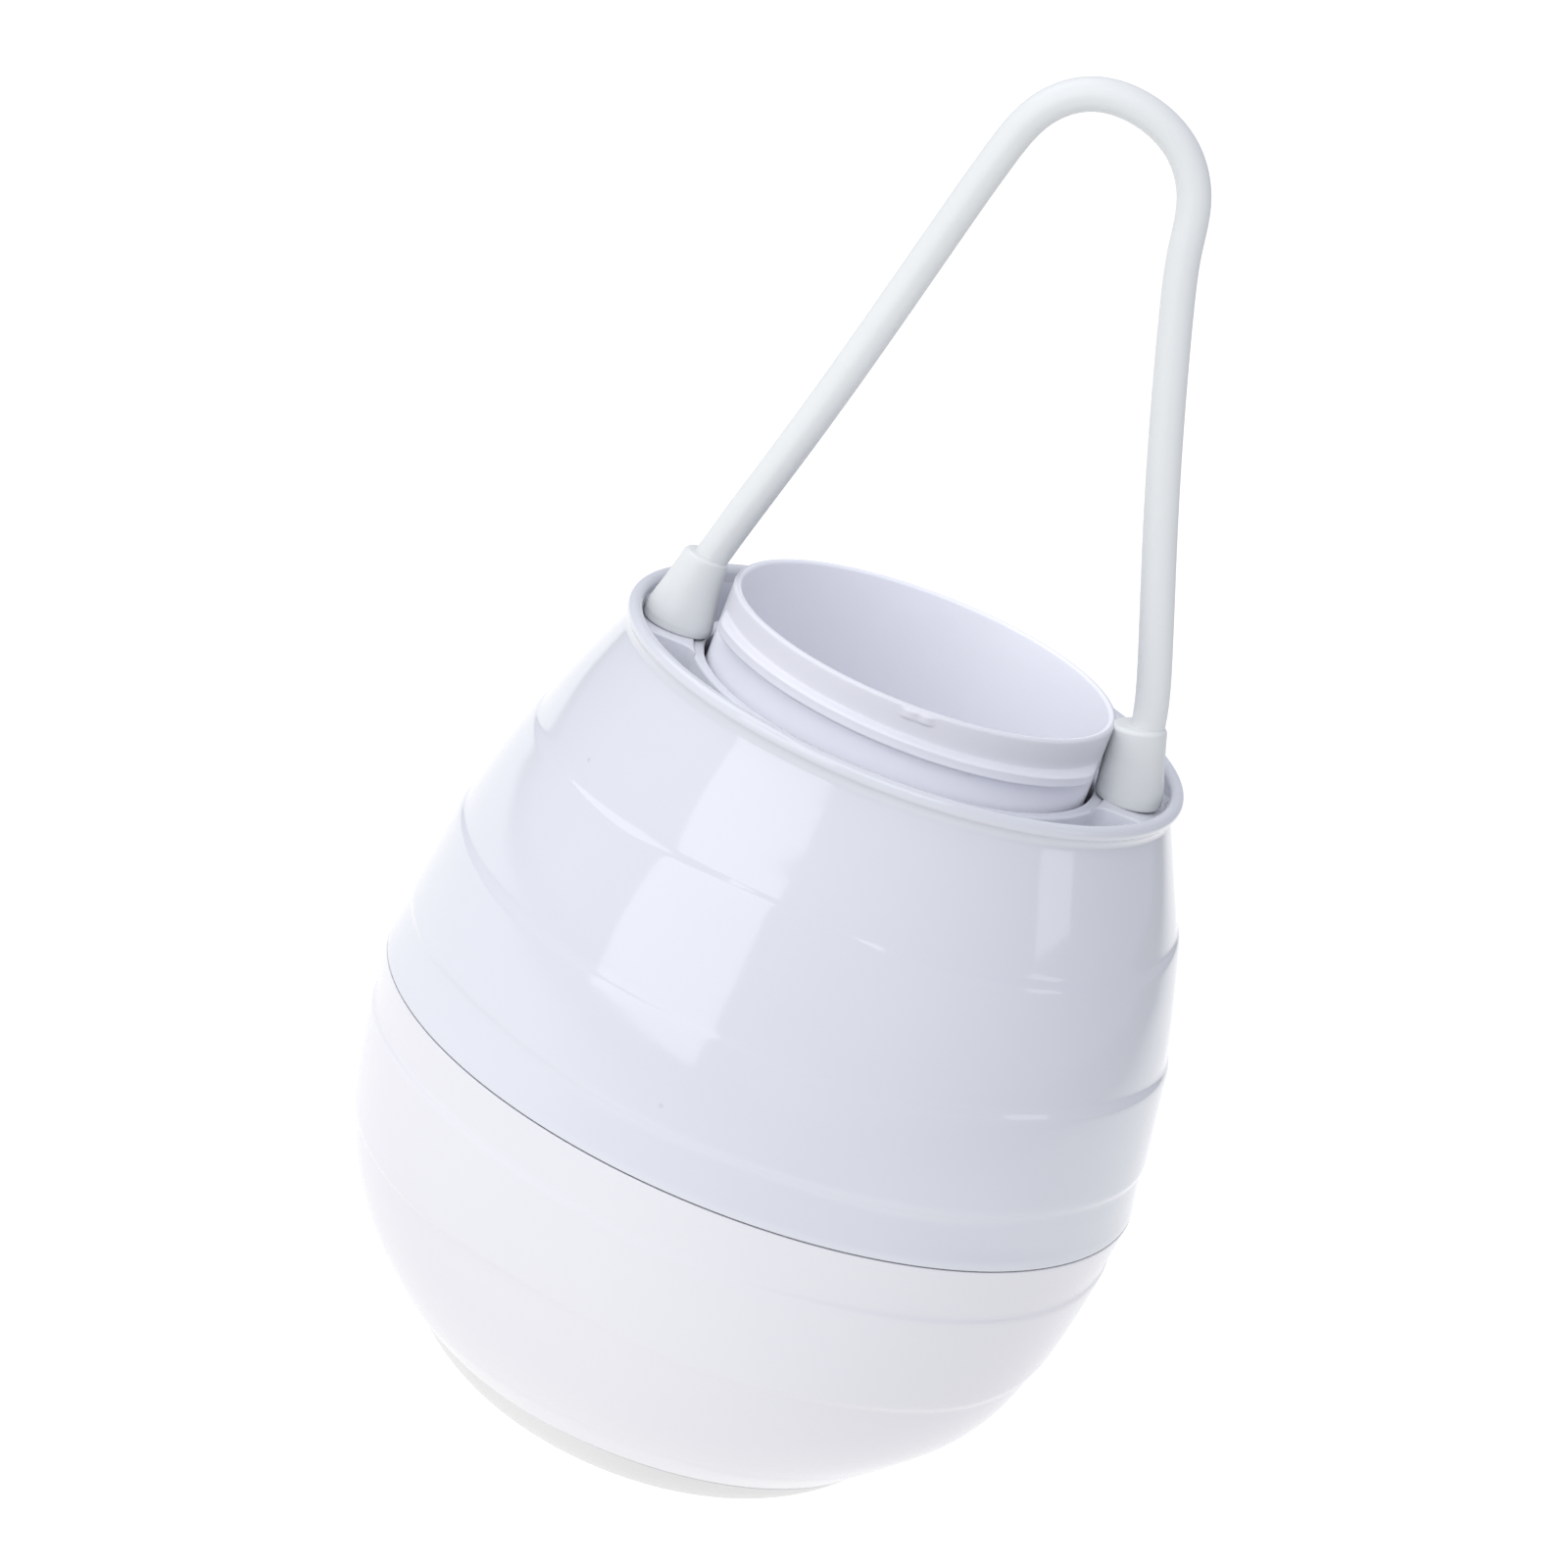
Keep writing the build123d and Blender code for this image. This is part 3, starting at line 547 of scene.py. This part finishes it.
def deckInsert():
    # Columns run outwards from the collar. Near each shelf they keep a constant distance from the
    # shelf's middle line, so that a column lies along the shelf's edge; elsewhere they fan out evenly.
    collarIn, collarOut, collarTop = shells["collar"]
    floor = shells["moatFloor"] + 0.02 * mm
    half = deck["shelfHalf"]
    edgeBits = np.concatenate([[0, 3, 6, 7.4], np.linspace(8.0, 9.0, 11), [9.4, 10, 11, 13, 16, 19]]) * mm
    side = np.concatenate([-edgeBits[:0:-1], edgeBits])
    ref = deck["middleCircle"]
    collarFillet = deck["collarFillet"]
    fan = np.arcsin(side / ref)
    between = np.linspace(fan[-1], np.pi - fan[-1], 60)[1:-1]
    columns = np.concatenate([fan, between, np.pi + fan, np.pi + between])
    across = ref * np.sin(columns)
    onShelfSide = np.abs(across) < 19.5 * mm
    # along a column: up the collar's inside, over its top, down to the floor or shelf,
    # out to the wall, and back under
    collar = rounded([(collarIn, deck["underside"], 0), (collarIn, collarTop, 0.5 * mm),
                      (collarOut, collarTop, 0.5 * mm), (collarOut, collarTop - 1.0 * mm, 0)], 0.15 * mm)
    # steps outwards, closest together beside the collar and at the wall
    t = np.concatenate([[0.0], np.linspace(0.02, 0.30, 8), np.linspace(0.36, 0.9, 8),
                        np.linspace(0.92, 1.0, 5)])
    onShelf = 1 - smooth(np.abs(across), half - 0.15 * mm, half + 0.35 * mm)
    rise = floor + onShelf * (deck["shelfTop"] - floor)
    reach = deck["wallAtFloor"] + onShelf * (deck["wallAtTop"] - deck["wallAtFloor"])
    rows = []
    for p in collar[:-1]:
        rows.append((np.repeat(p[0], len(columns)), np.repeat(p[1], len(columns))))
    for k in t:
        r = collarOut + 0.02 * mm + k * (reach - collarOut)
        inFillet = np.clip(1 - (r - collarOut) / collarFillet, 0, 1)
        fillet = collarFillet * (1 - np.sqrt(1 - inFillet ** 2))
        drop = collarTop - 0.6 * mm
        besideShelf = np.minimum(rise + fillet * (1 - onShelf), drop)
        rows.append((r, np.where(onShelf > 0.5, rise, besideShelf)))
    rows.append((reach, np.repeat(deck["underside"], len(columns))))
    r = np.stack([q[0] for q in rows])
    z = np.stack([q[1] for q in rows])
    flareAt = lambda d: deck["flare"] * (1 - np.sqrt(1 - np.clip(1 - d / deck["flare"], 0, 1) ** 2))
    flare = flareAt(r - collarOut) + flareAt(reach[None] - 0.9 * mm - r)
    nearEdge = bell(np.abs(across) - half, 3.5 * mm)
    y = across[None] + np.sign(across)[None] * flare * nearEdge[None]
    angleFan = columns[None] + 0 * r
    sign = np.where(np.cos(columns) > 0, 1.0, -1.0)[None]
    straightX = sign * np.sqrt(np.maximum(r ** 2 - y ** 2, 1e-9))
    blendIn = 1 - smooth(np.abs(across), 12 * mm, 19 * mm)[None]
    keep = blendIn * onShelfSide[None]
    fanX, fanY = r * np.cos(angleFan), r * np.sin(angleFan)
    x = keep * straightX + (1 - keep) * fanX
    y = keep * y + (1 - keep) * fanY
    points = np.stack([x, y, z], -1)
    # the deck takes the lighter white that paints light into the shaded moat
    return gridPiece("deckInsert", points, finishes["deckWhite"], "housing", closedRows=True,
                     replaced=["deck_ring"])


# Chamber cup with its threaded neck.

neck = {
    "columns": 360,
    "outer": 32.9 * mm,
    "inner": 31.6 * mm,
    "straightFrom": 112 * mm,   # the wall is straight above this and tapers below it
    "floorTop": 48.0 * mm,
    "bossTop": 58.2 * mm,       # the boss that centres the cartridge
    "bossR": 5.0 * mm,
    "bottomR": 31.4 * mm,
    "ridge": 1.7 * mm,          # how far the thread stands out
    "ridgeHalf": 1.5 * mm,      # half its height
    "flank": 0.75 * mm,         # height over which its upper and lower faces rise
    "threadStart": 137.7 * mm,  # middle of the thread at the left plug
    "threadDrop": 1.6 * mm,     # how far it falls over half a turn
    "gapHalf": 9.0,             # degrees without thread beside each plug
    "tab": (2.4 * mm, 0.9 * mm, 0.4 * mm),   # half width, half height and height of the gate marks
}


def threadedNeck():
    # Two starts of one coarse thread, each falling over nearly half a turn; its cross-section is a
    # flat-topped bump, made of two S-curves, that runs in and out at both ends. Rows are 0.2 mm
    # apart in the threaded zone.
    angle = np.linspace(0, 2 * np.pi, neck["columns"], endpoint=False)
    top = lipZ
    straightFrom, floorTop, bossTop, bossR, bottomR = (
        neck[k] for k in ("straightFrom", "floorTop", "bossTop", "bossR", "bottomR"))
    outer = rounded([(bottomR, 47 * mm, 0), (neck["outer"], straightFrom, 0),
                     (neck["outer"], top, 0.65 * mm), (neck["inner"], top, 0.6 * mm),
                     (neck["inner"], straightFrom, 0), (30.0 * mm, floorTop, 1.5 * mm),
                     (bossR, floorTop, 0.6 * mm), (bossR, bossTop, 0.5 * mm), (0, bossTop, 0)], 0.12 * mm)
    path = np.concatenate([[(0, 46 * mm)], [(bottomR, 46 * mm)], outer])
    dense = []
    for p, q in zip(path[:-1], path[1:]):
        zoneTop = p[0] > 32 * mm and max(p[1], q[1]) > 130 * mm and abs(p[1] - q[1]) > 2 * mm
        if zoneTop:
            heights = np.concatenate([[p[1]], np.arange(130, 142.3, 0.2) * mm, [q[1]]])
            part = np.stack([np.interp(heights, *zip(*sorted([(p[1], p[0]), (q[1], q[0])]))), heights], -1)
            if q[1] < p[1]:
                part = part[::-1]
            dense.append(part[:-1])
        else:
            count = max(2, int(np.linalg.norm(q - p) / (5 * mm)) + 2)
            dense.append(np.linspace(p, q, count)[:-1])
    path = np.concatenate(dense + [path[-1:]])
    r = path[:, 0][:, None] + 0 * angle[None]
    z = path[:, 1][:, None] + 0 * angle[None]
    outside = (path[:, 0] > neck["outer"] - 0.3 * mm) & (path[:, 1] > 129 * mm)
    along = np.mod(angle - np.pi, np.pi) / np.pi          # 0 to 1 along each start, from the left plug
    middle = neck["threadStart"] - neck["threadDrop"] * along
    gap = neck["gapHalf"] / 180
    ends = smooth(along, gap, gap + 0.09) * (1 - smooth(along, 1 - gap - 0.09, 1 - gap))
    away = np.abs(z - middle[None])
    bump = 1 - smooth(away, neck["ridgeHalf"] - neck["flank"], neck["ridgeHalf"])
    r += neck["ridge"] * bump * ends[None] * outside[:, None]
    halfWide, halfHigh, stand = neck["tab"]
    for where, shift in ((-85.3, 0.0), (93.0, 0.3 * mm)):
        arc = (np.mod(angle - np.radians(where) + np.pi, 2 * np.pi) - np.pi) * neck["outer"]
        patch = (1 - smooth(np.abs(arc), halfWide - 0.3 * mm, halfWide + 0.3 * mm))[None] * \
                (1 - smooth(np.abs(z - (top - 1.35 * mm)), halfHigh - 0.35 * mm, halfHigh))
        notch = 1 - 0.8 * bell(arc, 0.45 * mm)[None]
        r += (stand + shift) * patch * notch * outside[:, None]
    points = np.stack([r * np.cos(angle), r * np.sin(angle), z], -1)
    return gridPiece("chamberCupSkin", points, finishes["neckPlastic"], "housing",
                     replaced=["chamber_cup"])


# Strap and plugs.

strap = {
    "radius": 2.75 * mm,
    "around": 40,
    "step": 0.9 * mm,
    # centreline, from inside the left plug to inside the right one
    "route": [(-38.6, 141.0), (-37.6, 144.5), (-36.0, 150.5), (-31.1, 168.0), (-25.8, 188.4),
              (-20.9, 208.5), (-17.2, 223.0), (-14.0, 231.0), (-8.0, 236.2), (0.4, 237.1),
              (8.6, 233.6), (13.4, 226.8), (15.0, 219.0), (17.0, 210.5), (21.9, 193.8),
              (28.4, 173.7), (35.4, 153.4), (37.4, 146.5), (38.4, 141.0)],
    "bendFrom": 143.4 * mm,
    "bendTo": 151.0 * mm,
}


def carryStrap():
    # A circle carried along a smooth spline through the route's points; the section is a little
    # fuller at the top of the loop and has a fine moulding line on its front and back.
    route = np.array(strap["route"]) * mm
    gaps = np.sqrt(np.linalg.norm(np.diff(route, axis=0), axis=1))
    knot = np.concatenate([[0], np.cumsum(gaps)])
    fine = np.linspace(0, knot[-1], 4000)
    line = np.stack([splineThrough(knot, route[:, k], fine) for k in (0, 1)], -1)
    length = np.concatenate([[0], np.cumsum(np.linalg.norm(np.diff(line, axis=0), axis=1))])
    count = int(length[-1] / strap["step"])
    even = np.linspace(0, length[-1], count)
    centre = np.stack([np.interp(even, length, line[:, k]) for k in (0, 1)], -1)
    tangent = np.gradient(centre, axis=0)
    tangent /= np.linalg.norm(tangent, axis=1)[:, None]
    normal = np.stack([-tangent[:, 1], tangent[:, 0]], -1)
    angle = np.linspace(0, 2 * np.pi, strap["around"], endpoint=False)
    u = even / length[-1]
    size = strap["radius"] * (1 + 0.02 * np.sin(2.6 * np.pi * u + 0.5) + 0.03 * bell(u - 0.5, 0.09))
    flash = 1 + 0.02 * (bell(np.sin(angle / 2 + np.pi / 4), 0.08) + bell(np.cos(angle / 2 + np.pi / 4), 0.08))
    ring = size[:, None] * flash[None]
    x = centre[:, 0, None] + normal[:, 0, None] * ring * np.cos(angle)[None]
    z = centre[:, 1, None] + normal[:, 1, None] * ring * np.cos(angle)[None]
    y = ring * np.sin(angle)[None]
    points = np.stack([x, y, z], -1)
    first, last = (np.array([end[0], 0, end[1]])[None, None].repeat(len(angle), 1)
                   for end in (centre[0], centre[-1]))
    piece = gridPiece("strapLoop", np.concatenate([first, points, last]), finishes["whiteSilicone"],
                      None, replaced=["carry_strap"])
    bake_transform(piece)
    return piece


def splineThrough(knot, value, where):
    # natural cubic spline: second derivatives from the three-band system, then cubic pieces
    h = np.diff(knot)
    n = len(knot)
    system = np.eye(n)
    right = np.zeros(n)
    inner = np.arange(1, n - 1)
    system[inner, inner - 1] = h[:-1]
    system[inner, inner] = 2 * (h[:-1] + h[1:])
    system[inner, inner + 1] = h[1:]
    right[1:-1] = 6 * (np.diff(value[1:]) / h[1:] - np.diff(value[:-1]) / h[:-1])
    bend = np.linalg.solve(system, right)
    k = np.clip(np.searchsorted(knot, where) - 1, 0, n - 2)
    a, b = (knot[k + 1] - where) / h[k], (where - knot[k]) / h[k]
    bending = (a ** 3 - a) * bend[k] + (b ** 3 - b) * bend[k + 1]
    return a * value[k] + b * value[k + 1] + bending * h[k] ** 2 / 6


plugs = {
    "centre": 39.4 * mm,
    "base": 131.2 * mm,
    "height": 13.0 * mm,
    # lean in degrees, radius at the foot and at the shoulder
    "left": (4.2, 5.9 * mm, 3.65 * mm),
    "right": (-13.0, 5.6 * mm, 4.55 * mm),
    "columns": 96,
}


def strapPlug(name):
    # A tapered plug turned about a leaning axis: rounded foot, slightly hollow flank,
    # flat rounded shoulder.
    side = -1 if name == "left" else 1
    degrees, bottom, top = plugs[name]
    lean, high = np.radians(degrees), plugs["height"]
    outline = rounded([(0, 0.25 * mm, 0), (bottom - 0.1 * mm, 0.0, 0.7 * mm), (bottom, 1.6 * mm, 1.5 * mm),
                       ((bottom + top) / 2 - 0.12 * mm, high * 0.55, 12 * mm), (top, high, 0.8 * mm),
                       (0, high + 0.05 * mm, 0)], 0.12 * mm)
    outline = spread(outline, 0.8 * mm)
    angle = np.linspace(0, 2 * np.pi, plugs["columns"], endpoint=False)
    r, h = outline[:, 0][:, None], outline[:, 1][:, None]
    seamLine = 1 + 0.012 * bell(np.sin(angle), 0.05)[None]
    across = r * seamLine * np.cos(angle)[None]
    y = r * seamLine * np.sin(angle)[None]
    foot = np.maximum(0.0, 1 - h / (3 * mm))
    # the lean grows from nothing at the foot, so the foot sits flat but for its lifted outer edge
    x = side * plugs["centre"] + across * np.cos(lean) + h * np.sin(lean)
    z = plugs["base"] + h * np.cos(lean) - across * np.sin(lean) * (1 - 0.55 * foot)
    z = np.maximum(z, plugs["base"] - 0.1 * mm)
    return gridPiece("strapPlug_" + name, np.stack([x, y, z], -1), finishes["whiteSilicone"],
                     "housing", replaced=["strap_plug_" + name])


for build in (upperShell, lowerShell, deckInsert, threadedNeck, carryStrap):
    made = build()
    print(made.name, len(made.data.polygons), "faces")
for name in ("left", "right"):
    made = strapPlug(name)
    print(made.name, len(made.data.polygons), "faces")


# Stage, light and camera.

stage = {
    "floorSize": 4.0,
    "floorDim": 0.40,       # glow of the floor far from the product
    "floorBright": 0.62,    # what is added under and behind it
    "sky": (0.82, 0.85, 0.95),
    "skyStrength": 0.71,
}


# place, aim, size and radiance of each soft light
lights = {
    "leftSoft": ((-1.45, -1.95, 0.75), (0, 0, 0.1), (1.85, 1.5), 1.6),
    "patchSoft": ((2.3, -0.28, 0.85), (0, 0, 0.12), (0.6, 0.45), 1.15),
    "frontSoft": ((-0.09, -1.03, 1.35), (0, 0, 0.12), (1.6, 0.8), 1.8),
    "topSoft": ((-0.95, 0.15, 1.25), (0, 0, 0.12), (1.2, 1.2), 1.5),
    "fillSoft": ((-0.25, -0.93, 0.4), (0, 0, 0.1), (0.5, 0.5), 1.0),
}


def addArea(name, place, aim, size, radiance):
    # a rectangular soft light; its power follows from the brightness of its face
    lamp = bpy.data.lights.new(name, "AREA")
    lamp.shape, lamp.size, lamp.size_y = "RECTANGLE", size[0], size[1]
    lamp.energy = radiance * np.pi * size[0] * size[1]
    holder = bpy.data.objects.new(name, lamp)
    holder.location = place
    holder.rotation_euler = (Vector(aim) - Vector(place)).to_track_quat("-Z", "Y").to_euler()
    bpy.context.scene.collection.objects.link(holder)
    return holder


def makeStage():
    # The floor glows a little, brightest under and behind the product, so no hard shadow shows.
    half = stage["floorSize"]
    floor = bpy.data.meshes.new("paleFloor")
    corners = [(-half, -half, 0), (half, -half, 0), (half, half, 0), (-half, half, 0)]
    floor.from_pydata(corners, [], [(0, 1, 2, 3)])
    made = bpy.data.materials.new("paleFloor")
    made.use_nodes = True
    tree = made.node_tree
    principled = tree.nodes["Principled BSDF"]
    principled.inputs["Base Color"].default_value = (0.12, 0.12, 0.125, 1)
    principled.inputs["Roughness"].default_value = 1.0
    principled.inputs["Specular IOR Level"].default_value = 0.0
    principled.inputs["Emission Color"].default_value = (1, 1, 1, 1)
    place = tree.nodes.new("ShaderNodeSeparateXYZ")
    tree.links.new(tree.nodes.new("ShaderNodeTexCoord").outputs["Object"], place.inputs[0])
    glow = 1.0
    for axis, off, full in (("X", 0.80, 0.28), ("X", -1.25, -0.75), ("Y", -0.85, -0.25), ("Y", 3.4, 2.6)):
        fall = node(tree, "ShaderNodeMapRange", **{"From Min": off, "From Max": full})
        fall.interpolation_type = "SMOOTHSTEP"
        tree.links.new(place.outputs[axis], fall.inputs["Value"])
        glow = math(tree, "MULTIPLY", fall.outputs["Result"], glow)
    strength = math(tree, "MULTIPLY_ADD", glow, stage["floorBright"], stage["floorDim"])
    tree.links.new(strength, principled.inputs["Emission Strength"])
    floor.materials.append(made)
    holder = bpy.data.objects.new("paleFloor", floor)
    bpy.context.scene.collection.objects.link(holder)
    world = bpy.data.worlds.new("studio")
    world.use_nodes = True
    world.node_tree.nodes["Background"].inputs["Color"].default_value = (*stage["sky"], 1)
    world.node_tree.nodes["Background"].inputs["Strength"].default_value = stage["skyStrength"]
    bpy.context.scene.world = world
    bpy.context.scene.view_settings.view_transform = "Standard"


camera = {
    "target": (-0.01359, 0.0, 0.11248),
    "azimuth": 0.969,
    "elevation": 18.524,
    "roll": 21.046,
    "distance": 0.84065,
    "lens": 118.117,
}


def makeCamera():
    az, el, roll = (np.radians(camera[k]) for k in ("azimuth", "elevation", "roll"))
    back = Vector((np.sin(az) * np.cos(el), -np.cos(az) * np.cos(el), np.sin(el)))
    level = Vector((np.cos(az), np.sin(az), 0))
    up = back.cross(level)
    right = level * np.cos(roll) + up * np.sin(roll)
    over = up * np.cos(roll) - level * np.sin(roll)
    data = bpy.data.cameras.new("camera")
    data.lens, data.sensor_width = camera["lens"], 36.0
    holder = bpy.data.objects.new("camera", data)
    place = Vector(camera["target"]) + back * camera["distance"]
    turned = Matrix((right, over, back)).transposed().to_4x4()
    holder.matrix_world = Matrix.Translation(place) @ turned
    bpy.context.scene.collection.objects.link(holder)
    bpy.context.scene.camera = holder


makeStage()
for name, settings in lights.items():
    # the fill lifts the whole front and must not mirror in the gloss
    addArea(name, *settings).visible_glossy = name != "fillSoft"
makeCamera()
print("stage and camera ready")
